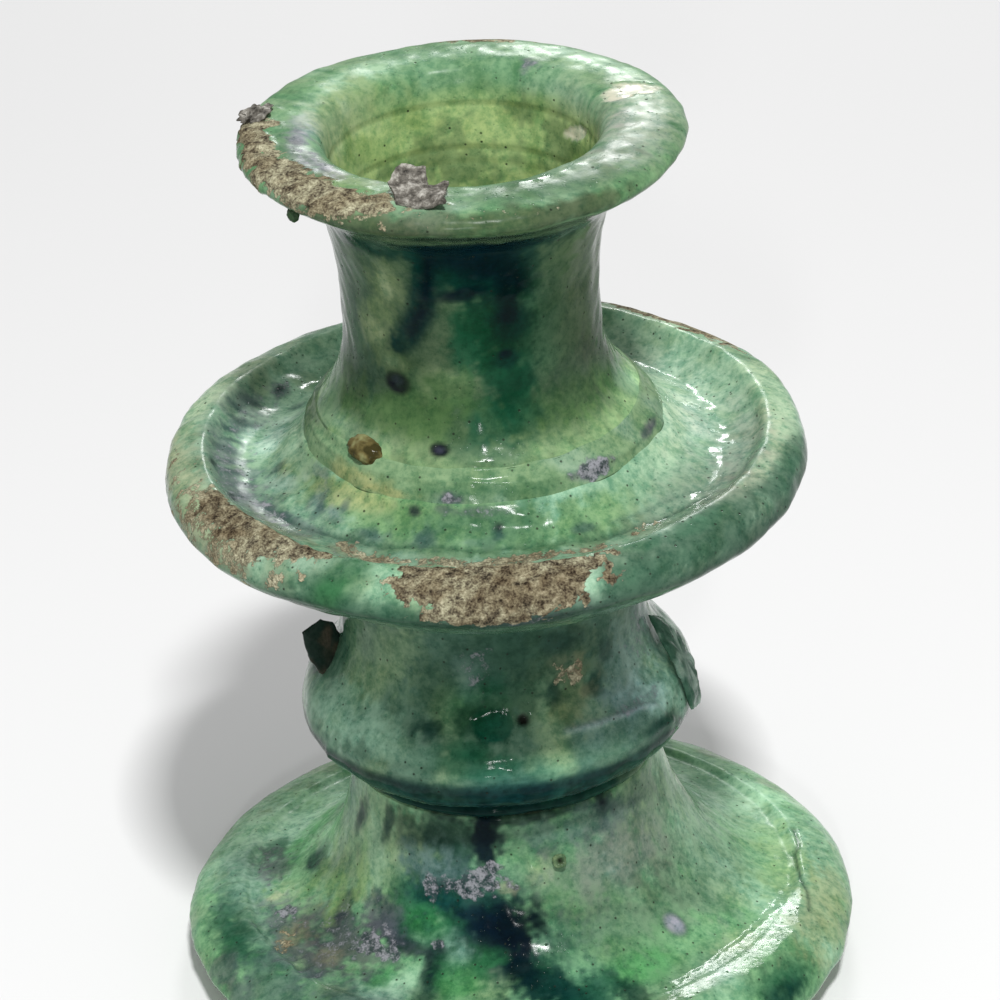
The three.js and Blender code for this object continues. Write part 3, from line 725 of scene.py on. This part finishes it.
waves = ripple(pan.points, 13, 57) * smooth(pan.up, 52, 58) * (1 - smooth(pan.up, 70, 73))
worn = np.clip(np.maximum(front, left), 0, 1)
pan.lift = (
    pan.uneven((0.45, 34, 55), (0.12, 9, 56), (0.06, 4, 58))
    + 0.02 * pan.rings((1, 6.1, 0.4), (0.6, 2.9, 0))
    + 0.45 * waves - 0.35 * worn + 0.22 * worn * ripple(pan.points, 2.6, 59)
    - 0.4 * crease - 0.25 * far_crease
)
pan.lift *= smooth(73.5 - pan.up, 0, 2) * smooth(pan.up, 0, 2)
pan.made("pan_shell", pan_glaze, "pan_glaze", "drip_pan")


# --- Socket collar ----------------------------------------------------------------------------
# A wreath of slip pressed round the socket's foot to hold it on the pan's boss, smoothed with a
# wet finger, with a few metallic specks where the copper came out.
collar_glaze = glazed("collar_glaze", gloss=0.12, swell=0.08, specks=0.7)
outline = np.concatenate([
    flow([[36.4, 122.9], [35.4, 125.4], [34, 127.2], [32.7, 129.1]], 0.35),
    np.array([[24, 129.1], [24, 122.9]]) * MM,
])
collar = Thrown(outline, 420, 61, tone(116, 152, 106))
collar.cloud(SAGE, 14, 62, 0, 1, 0.6)
collar.dabs(tone(70, 112, 72), [(-95, 3, 12, 2.6), (-72, 2, 7, 2), (100, 3, 16, 3)], 0.7, ragged=0.7)
collar.dabs(tone(150, 160, 100), [(-135, 2, 7, 2), (-120, 1, 5, 1)], 0.7)
collar.dabs(MAUVE, [(-53, 2.4, 5, 1.6), (-99.9, 1.4, 2.4, 1.4), (-20, 2.5, 4, 1)], 0.9, ragged=0.5)
collar.film = collar.spread((0.8, -53, 2.4, 5, 1.8, 0.6), (0.7, -99.9, 1.4, 2, 1.2, 0.45))
collar.glaze *= [0.92, 0.82, 0.94]
collar.lift = (
    collar.uneven((0.3, 16, 63), (0.12, 5, 64))
    + 0.35 * collar.line([(-170, 4.4), (-130, 4.6), (-100, 4.8), (-60, 3.4), (-28, 2.4)], 0.7)
)
collar.made("collar_shell", collar_glaze, "collar_glaze", "socket_collar")


# --- Candle socket ----------------------------------------------------------------------------
# A waisted tube that flares into a wide flat rim, with a floor for the candle. Thick glaze ran
# down from the rim in a black-green fork; kiln crust is fused along the rim's left front. The
# underside of the flare is darkened with painted shade.
socket_glaze = glazed("socket_glaze", gloss=0.12, swell=0.07, specks=0.5, mottle=0.7)
ROOT = 32.8  # radius of the tube's foot; places are counted up from there
skin = flow([
    [ROOT, 128.7], [28.9, 133.2], [26.4, 139], [25.5, 146], [26, 158], [28, 169], [31, 175], [38.2, 180.4],
    [43.1, 183.8], [42.8, 186], [40, 187.2], [34.2, 187.8], [29.4, 187.2], [26.8, 184.6], [25.6, 179],
    [24, 170], [22, 158],
], 0.6)
bore = flow([[22, 158], [20, 147], [18.2, 140]], 2)[1:]
floor_line = np.array([[17, 137], [9, 137], [0, 137]]) * MM
TEAL, MOSS, BISCUIT = tone(56, 84, 70), tone(76, 96, 70), tone(104, 120, 88)

socket = Thrown(np.concatenate([np.array([[0, 128.7]]) * MM, skin, bore, floor_line]), 460, 71, MOSS)
socket.up = socket.up - ROOT
tube = 1 - smooth(socket.up, 58, 64)
leftward = smooth(-socket.across(-118), 0, 14) * smooth(socket.across(-230), 0, 14)
socket.paint(TEAL, leftward * tube, 0.75)
socket.paint(tone(92, 128, 76), (1 - smooth(socket.up + 3 * socket.edge, 9, 17)), 0.85)
socket.paint(tone(136, 166, 118), (1 - smooth(socket.up + 2 * socket.edge, 2.5, 8)), 0.85)
socket.cloud(tone(60, 92, 66), 16, 73, 0.1, 1, 0.6, drawn=0.4, within=tube)
socket.dabs(tone(112, 144, 112), [(-172, 7, 5, 7), (-4, 5, 5, 5), (170, 12, 8, 9), (-160, 3, 6, 3)], 0.7)
socket.dabs(EMERALD, [
    (-80, 30, 7, 6), (-88, 42, 7, 6), (-76, 20, 4.6, 9), (-86, 9, 5, 6), (-92, 24, 5, 5, 20),
    (-70, 12, 4, 6), (60, 34, 9, 14), (120, 26, 6, 16),
], 0.85, ragged=0.6)
socket.dabs(tone(6, 58, 36), [(-80, 31, 6, 6), (-76, 20, 4, 8), (-86, 41, 5, 5), (-70, 26, 5, 5)], 0.8)
# The wide, low ovals at up 47 to 52 in these DEEP and INK dabs darken the underside of the flare: glaze
# run down from the rim, and painted shade.
socket.dabs(DEEP, [
    (-82, 48, 16, 4), (-96, 50, 13, 4), (-130, 47, 12, 3), (-50, 50, 18, 3), (-74, 40, 8, 8),
    (-90, 42, 7, 6), (66, 46, 12, 7), (-74, 22, 2.4, 2), (-72, 30, 4, 5),
], 0.95, ragged=0.3)
streak = socket.line([(-103, 51), (-107, 42), (-110, 33), (-117, 27), (-125, 24)], 3.0)
socket.paint(DEEP, np.clip(1.5 * streak, 0, 1))
socket.paint(INK, socket.line([(-102, 51), (-105, 42), (-109, 33), (-116, 28)], 1.8))
socket.dabs(INK, [
    (-92, 47, 7, 4), (-80, 44, 6, 5), (-72, 38, 3.6, 5), (-93, 37, 5, 1.6, 12), (-73, 31, 2.2, 2),
    (-75, 23, 1.4, 1), (-96, 52, 13, 3), (-74, 50, 10, 3), (64, 49, 8, 4),
], 0.95, ragged=0.3)
socket.dabs(BISCUIT, [
    (-126, 37, 3.6, 5.8), (-136, 26, 4.6, 4.4, 10), (-127, 20, 4.6, 2.6), (-132, 31, 3, 3),
    (-105, 17, 5, 4),
], 0.9, soft=0.35)
socket.dabs(tone(150, 160, 128), [(-126, 37, 1.6, 3.6), (-136, 26, 2.4, 2.4), (-126, 20, 2.6, 1.2)], 0.55)
socket.dabs(tone(70, 108, 60), [(-112, 12, 9, 5), (-98, 15, 5, 5)], 0.6)
socket.dabs(tone(14, 20, 28), [(-124, 16, 2.9, 2.3), (-103.5, 4, 2.0, 1.6)], ragged=0.15, soft=0.3)
socket.paint(tone(62, 68, 78), socket.patch(-124, 16.6, 1.2, 0.9), 0.8)
socket.dabs(tone(60, 64, 76), [(-103.5, 4, 1.0, 0.8)], 0.8)
lip = smooth(socket.up, 62, 66)
socket.paint(tone(100, 138, 98), lip)
socket.cloud(tone(138, 166, 136), 15, 74, -0.2, 0.9, 0.6, within=lip)
socket.paint(tone(66, 116, 76), lip * smooth(socket.runs, 0.2, 1.2), 0.6)
socket.cloud(OLIVE, 11, 75, 0.2, 1, 0.5, within=lip)
socket.dabs(tone(154, 184, 154), [
    (-22, 75, 14, 6), (4, 74, 10, 5), (-48, 79, 8, 3), (50, 72, 16, 4), (120, 78, 20, 4),
], 0.7)
socket.dabs(tone(90, 128, 92), [(-76, 75, 10, 5), (-58, 72, 8, 3), (80, 82, 20, 5), (95, 76, 14, 4)], 0.7)
socket.dabs(tone(66, 78, 54), [(-86, 66.5, 22, 2.8), (-120, 65.5, 16, 2.2), (-58, 66.5, 12, 1.8)], 0.85)
# Painted shade: a dark band under the rim's overhang.
socket.paint(tone(24, 38, 32), socket.line([(-140, 60.5), (-90, 60), (-40, 60.5)], 3.4), 0.85)
socket.dabs(tone(134, 146, 138), [(-152, 77.5, 13, 2.8), (174, 80, 5, 3)], 0.8)
socket.dabs(tone(106, 100, 116), [(-171, 78, 3, 2), (-142, 78, 4, 2), (64, 80, 2.4, 2.2)], 0.7, ragged=0.6)
socket.dabs(tone(118, 140, 92), [(-205, 84, 10, 6), (-130, 76, 6, 4), (150, 84, 14, 5)], 0.7)
mouth = smooth(socket.up, 84, 91)
socket.paint(tone(152, 174, 116), mouth)
socket.cloud(tone(118, 144, 88), 10, 76, 0, 1, 0.7, within=mouth)
socket.dabs(tone(60, 84, 56), [(64, 90, 4.4, 3), (40, 95, 5, 6), (100, 100, 10, 6)], 0.6, ragged=0.7)
scratches = [(1, 89), (1, 98), (0.6, 101)]
lines = sum(deep * np.exp(-((socket.up - up) / 0.4) ** 2) for deep, up in scratches)
socket.paint(tone(66, 84, 40), np.broadcast_to(lines, mouth.shape) * 0.7)
chips = np.maximum(
    socket.patch(18, 75, 3.4, 6, ragged=0.3, soft=0.1),
    socket.patch(30, 91, 4, 1.4, 20, ragged=0.3, soft=0.15),
)
crust = socket.spread(
    (1, -142, 70, 24, 4.6, 0.4), (1, -176, 70, 12, 3.6, 0.5), (0.8, -118, 71, 7, 3.6, 0.4),
)
worn = socket.spread((0.75, 84, 69, 9, 2.6, 0.7), (0.3, -85, 68, 16, 1.8, 0.8))
socket.bare = np.maximum.reduce([0.95 * crust, worn, 0.3 * chips])
socket.film = socket.spread((0.5, -152, 77.5, 14, 3, 0.7), (0.5, 64, 80, 3, 2.6, 0.45))
socket.glaze *= (1 + 0.2 * (1 - lip))[..., None]
socket.wash_and_shade(
    (-50, 75, 24, 7, 0.66, 0.62, 0.66), (-8, 74, 18, 8, 0.92, 0.78, 0.86),
    (-158, 75, 14, 5, 0.66, 0.66, 0.68), (-140, 69, 12, 4, 0.76, 0.8, 0.82),
    (10, 84, 18, 5, 1.45, 1.2, 1.45), (-190, 85, 14, 6, 1.25, 1.15, 1.5),
    (-110, 83, 12, 4, 1.25, 1.15, 1.4), (-100, 70, 7, 5, 1.3, 1.1, 1.4),
    (-80, 32, 8, 9, 0.5, 0.9, 0.8), (-62, 26, 8, 14, 0.55, 0.8, 0.78),
    (-30, 32, 10, 16, 0.75, 0.78, 0.72), (-122, 19, 6, 5, 0.6, 0.75, 0.65),
    (-142, 36, 9, 16, 0.75, 0.85, 0.72), (-40, 12, 9, 6, 0.75, 0.75, 0.85),
    (-88, 8, 42, 10, 0.52, 0.5, 0.54), (-82, 9, 7, 4, 1.6, 1.3, 1.3), (-80, 3, 9, 2.4, 1.3, 1.3, 1.4),
    (-140, 3, 8, 2.4, 1.3, 1.2, 1.4), (8, 4, 12, 4, 1.5, 1.5, 1.6), (-180, 6, 10, 5, 1.3, 1.4, 1.35),
)
socket.paint(tone(192, 190, 170), chips, 0.95)
socket.dull += 0.4 * smooth(socket.up, 64, 68) * (1 - smooth(socket.up, 82, 88))
wet = socket.spread((1, 116, 85, 7, 4, 0.45), (1, 84, 85, 4, 4, 0.45), (1, -60, 79, 9, 2, 0.45))
socket.dull *= 1 - wet
socket.dull = np.maximum(socket.dull, 0.9 * socket.patch(-182, 84, 16, 9, ragged=0.2))
socket.lift = (
    socket.uneven((0.3, 32, 77), (0.12, 9, 78), (0.05, 4, 79))
    + 0.015 * socket.rings((1, 5.6, 0), (0.5, 2.7, 2))
    + np.clip(crust, 0, 1) * (0.35 + 0.3 * ripple(socket.points, 3, 80)) - 0.35 * chips - 0.15 * lines
    - 0.25 * socket.patch(-124, 16.6, 1.4, 1.1, ragged=0.1)
    + 0.2 * socket.patch(-124, 16, 3.2, 2.6, ragged=0.1)
)
socket.lift *= smooth(socket.up, 0, 1.5) * (1 - smooth(socket.up, 125, 130))
socket.made("socket_shell", socket_glaze, "socket_glaze", "candle_socket")


# --- Kiln debris on the rim -------------------------------------------------------------------
# Flakes of kiln crust that fell on the soft glaze and fused to it: a curled shard on the front
# of the mouth and a lump at the left. Coarse grey-brown clay with a pale limy skin.
ROWS, AROUND = 39, 96  # of every lump and flake, between their two poles


def placed(points, radius, bearing, height, pitch=0, spin=0, roll=0):
    """Points in millimetres rolled on their long axis, turned on their face by spin, lifted at
    the outer end by pitch, set at a bearing, radius and height, and settled with the stack.
    All the angles are in degrees."""
    x, y, z = np.moveaxis(points * MM, -1, 0)
    spin, pitch, turn, roll = (math.radians(a) for a in (spin, pitch, bearing, roll))
    y, z = y * math.cos(roll) - z * math.sin(roll), y * math.sin(roll) + z * math.cos(roll)
    x, y = x * math.cos(spin) - y * math.sin(spin), x * math.sin(spin) + y * math.cos(spin)
    x, z = x * math.cos(pitch) - z * math.sin(pitch), x * math.sin(pitch) + z * math.cos(pitch)
    x, z = x + radius * MM, z + height * MM
    x, y = x * math.cos(turn) - y * math.sin(turn), x * math.sin(turn) + y * math.cos(turn)
    return settled(np.stack([x, y, z], -1))


def flake(corners, thick, curl, uneven, seed):
    """A plate on a cornered outline: from the middle of its back (v = -1) to the middle of its
    face (v = 1) the outline is scaled by (1 - |v|^3)^(1/3) and raised by half the thickness
    times |v|^0.6 (0.35 + 0.65 |v|), with v's sign. Its ends are then raised by curl times
    (x / the largest x)^2, and it is roughened."""
    corners = np.array([*corners, corners[0]], float)
    u = np.linspace(0, len(corners) - 1, AROUND + 1)[:-1]
    v = np.linspace(-1, 1, ROWS + 2)[1:-1, None]
    across = np.interp(u, np.arange(len(corners)), corners[:, 0])[None, :]
    along = np.interp(u, np.arange(len(corners)), corners[:, 1])[None, :]
    scale = (1 - np.abs(v) ** 3) ** (1 / 3)
    rise = 0.5 * thick * np.sign(v) * np.abs(v) ** 0.6 * (0.35 + 0.65 * np.abs(v))
    points = np.stack([across * scale, along * scale, np.broadcast_to(rise, (ROWS, AROUND))], -1)
    poles = np.array([[0, 0, -0.5 * thick], [0, 0, 0.5 * thick]])
    points = np.concatenate([poles[:1], points.reshape(-1, 3), poles[1:]])
    points[:, 2] += curl * (points[:, 0] / corners[:, 0].max()) ** 2
    wander = np.stack([ripple(points * MM, 2.4, seed + k) for k in range(3)], -1)
    return points + uneven * wander + 0.4 * uneven * ripple(points * MM, 1.0, seed + 5)[:, None]


def lump(long, wide, tall, uneven, seed):
    """A ball squashed to its three sizes, its radius swelling by the uneven noise."""
    turn = np.linspace(0, 2 * np.pi, AROUND, endpoint=False)[None, :]
    rise = np.linspace(-np.pi / 2, np.pi / 2, ROWS + 2)[1:-1, None]
    flat, high = np.cos(rise), np.broadcast_to(np.sin(rise), (ROWS, AROUND))
    ball = np.stack([flat * np.cos(turn), flat * np.sin(turn), high], -1)
    ball = np.concatenate([[[0, 0, -1]], ball.reshape(-1, 3), [[0, 0, 1]]])
    coarse, fine = (ripple(ball * 3 * MM, size, seed + k) for k, size in enumerate((2.6, 1.1)))
    swell = 1 + uneven * coarse + 0.4 * uneven * fine
    return ball * swell[:, None] * np.array([long, wide, tall]) / 2


def fused(name, points, finish, slot, node, glaze=None):
    """Puts a lump or flake in the scene. glaze is its colour, at each point or all over."""
    faces = capped(1 + np.arange(ROWS * AROUND).reshape(ROWS, AROUND), 0, ROWS * AROUND + 1)
    layers = {} if glaze is None else {"glaze": np.broadcast_to(glaze, points.shape)}
    solid(name, points, faces, layers, finish, slot, node)


def crusted(name, dark, middle, pale, rough, glassy):
    """Fused clay: three tones by noise, with pits, a rough skin and glassy patches."""
    m = Recipe(name)
    slow, fine, grain = m.noise(420, 3), m.noise(1300, 4, 0.65), m.noise(3600, 2)
    mix = slow * 0.55 + fine * 0.45
    colour = m.node("ValToRGB", {"stops": [(0.36, dark), (0.5, middle), (0.66, pale)]}, [mix])
    glass = slow.between(0.5, 0.62) * glassy
    roughness = rough - glass * 0.55 + (grain - 0.5) * 0.2
    return m.finished(colour, roughness, fine * 0.3 + grain * 0.08 + slow * 0.2)


kiln_crust = crusted(
    "kiln_crust", (0.03, 0.028, 0.024), (0.14, 0.13, 0.112), (0.44, 0.425, 0.38), rough=0.7, glassy=0.5
)
shard = flake([
    (7.4, -1.4), (5.2, 0.8), (2.6, 4.6), (-0.4, 2.6), (-3.6, 5.4), (-6.8, 2.6), (-6.0, -2.6), (-1.6, -4.6),
    (3.2, -3.6),
], 1.9, 2.6, 0.24, 90)
shard = placed(shard, 35.2, -102, 188.6, -15, 62)
fused("clinker_front", shard, kiln_crust, "kiln_crust", "rim_clinker_front")
left_lump = placed(lump(7.4, 5.2, 2.8, 0.3, 96), 40.9, 170, 187.6, -12, 80)
fused("clinker_left", left_lump, kiln_crust, "kiln_crust", "rim_clinker_left")


# --- Glaze drops ------------------------------------------------------------------------------
# Drops of glaze that stopped running and froze: one under the rim, one on the foot's neck with
# a hole in its top, and a brown one, coloured by iron, at the socket's foot.
drop = placed(lump(2.4, 2.4, 3.0, 0.08, 101), 42.4, -138, 182.6)
fused("frozen_drop", drop, dark_glaze, "dark_glaze", "rim_drop", tone(50, 70, 48))

pip = lump(2.9, 2.9, 2.3, 0.1, 103)
dimple, hole_dark = (np.exp(-((pip[:, 0] / wide) ** 2 + (pip[:, 1] / wide) ** 2)) for wide in (0.7, 0.8))
pip[:, 2] -= 0.9 * dimple * (pip[:, 2] > 0)
# The drop is painted near black round the middle of its top, inside its dimple.
hole = hole_dark[:, None] * (pip[:, 2:] > 0)
pip_tone = tone(98, 118, 86) * (1 - hole) + tone(20, 26, 16) * hole
pip = placed(pip, 34.8, -73, 37.5, -62)
fused("foot_pimple", pip, foot_glaze, "foot_glaze", "foot_pip", pip_tone)

m = Recipe("amber_glaze")
depth = m.noise(330, 3)
honey = [(0.38, (0.04, 0.034, 0.012)), (0.5, (0.11, 0.09, 0.034)), (0.62, (0.2, 0.2, 0.09))]
amber = m.node("ValToRGB", {"stops": honey}, [depth])
amber_glaze = m.finished(amber, 0.03 + depth * 0.08, m.noise(600, 2) * 0.06)
bead = placed(lump(6.0, 8.0, 4.4, 0.09, 105), 32.2, -133, 129.2, -50)
fused("amber_bead", bead, amber_glaze, "amber_glaze", "glaze_bead")


# --- Sherds on the knop -----------------------------------------------------------------------
# Two slivers of a broken pot that stood beside it in the kiln, stuck to the knop by its glaze:
# a dark plate at the left and a thin ragged fin at the right.
def mixed(first, second, share):
    """A colour for each point: first where share is 0, second where it is 1."""
    return first + (second - first) * share[:, None]


glazed_sherd = glazed("glazed_sherd", gloss=0.16, swell=0.1, specks=0.3)
plate = flake([
    (7.6, -1.6), (7.2, 3.2), (1.6, 4.2), (-3.2, 3.5), (-7.2, 1.6), (-6.6, -3.4), (0.4, -4.2), (5.2, -3.7),
], 2.0, 0.5, 0.1, 110)
plate = placed(plate, 35.2, -170, 74.4, 72, 0, -68)
plate_tone = mixed(tone(34, 48, 42), tone(66, 62, 52), smooth(ripple(plate, 5, 111), -0.2, 1))
fused("sherd_left", plate, glazed_sherd, "glazed_sherd", "knop_sherd_left", plate_tone)
fin = flake([
    (11, -1), (8.8, 3.0), (5.6, 3.2), (3.8, 5.0), (0.2, 3.8), (-3.4, 5.4), (-6.2, 3.8), (-11, 2.8),
    (-10.4, -3.6), (-2, -5), (6, -4.4),
], 1.8, 1.8, 0.14, 112)
fin = placed(fin, 39.0, -12, 69.6, 117, 12)
fin_tone = mixed(tone(64, 98, 80), tone(136, 160, 144), smooth(ripple(fin, 4, 113), 0, 1))
fused("sherd_right", fin, glazed_sherd, "glazed_sherd", "knop_sherd_right", fin_tone)


# --- Floor, lights and camera -----------------------------------------------------------------
# A plain pale floor in an even white room, under three sheets of light: one behind, one above
# and in front, and a small one farther off in front.
REACH = 3
ground = bpy.data.meshes.new("floor")
square = [(-REACH, -REACH, 0), (REACH, -REACH, 0), (REACH, REACH, 0), (-REACH, REACH, 0)]
ground.from_pydata(square, [], [(0, 1, 2, 3)])
paper = Recipe("floor_paper")
shade = paper.blend(paper.noise(3.0, 2), (0.7, 0.7, 0.7), (0.72, 0.72, 0.72))
ground.materials.append(paper.finished(shade, 0.9, paper.noise(40, 2) * 0.05))
floor = bpy.data.objects.new("floor", ground)
bpy.context.scene.collection.objects.link(floor)

world = bpy.data.worlds.new("room")
world.use_nodes = True
world.node_tree.nodes["Background"].inputs["Color"].default_value = (1, 1, 1, 1)
world.node_tree.nodes["Background"].inputs["Strength"].default_value = 0.42
bpy.context.scene.world = world


def softbox(name, place, size, power, aim=(0, 0, 0.1)):
    """A sheet of light at a place, turned towards its aim in the middle of the object."""
    lamp = bpy.data.lights.new(name, "AREA")
    lamp.shape, (lamp.size, lamp.size_y), lamp.energy = "RECTANGLE", size, power
    box = bpy.data.objects.new(name, lamp)
    away = np.array(place, float) - np.array(aim, float)
    yaw, fall = math.atan2(away[0], -away[1]), math.atan2(math.hypot(away[0], away[1]), away[2])
    box.location, box.rotation_euler = place, (fall, 0, yaw)
    bpy.context.scene.collection.objects.link(box)


softbox("window_back", (0.12, 1.5, 0.84), (0.3, 0.16), 8)
softbox("overhead", (0.12, -0.7, 1.35), (0.16, 0.09), 21)
softbox("front_window", (-0.1, -1.7, 0.72), (0.07, 0.13), 6)

eye = bpy.data.cameras.new("camera")
eye.sensor_width, eye.lens, eye.clip_start, eye.clip_end = 36, 124.34, 0.01, 20
camera = bpy.data.objects.new("camera", eye)
standpoint, yaw, pitch, roll = (0, -0.6277, 0.4249), -0.0044, 0.4723, -0.0221
ahead = np.array([math.sin(yaw) * math.cos(pitch), math.cos(yaw) * math.cos(pitch), -math.sin(pitch)])
side = np.array([math.cos(yaw), -math.sin(yaw), 0])
top = np.cross(side, ahead)
c, s = math.cos(roll), math.sin(roll)
side, top = c * side + s * top, c * top - s * side
stand = np.eye(4)
stand[:3] = np.stack([side, top, -ahead, standpoint], -1)
camera.matrix_world = Matrix(stand.tolist())
bpy.context.scene.collection.objects.link(camera)
bpy.context.scene.camera = camera
bpy.context.scene.view_settings.view_transform = "Standard"
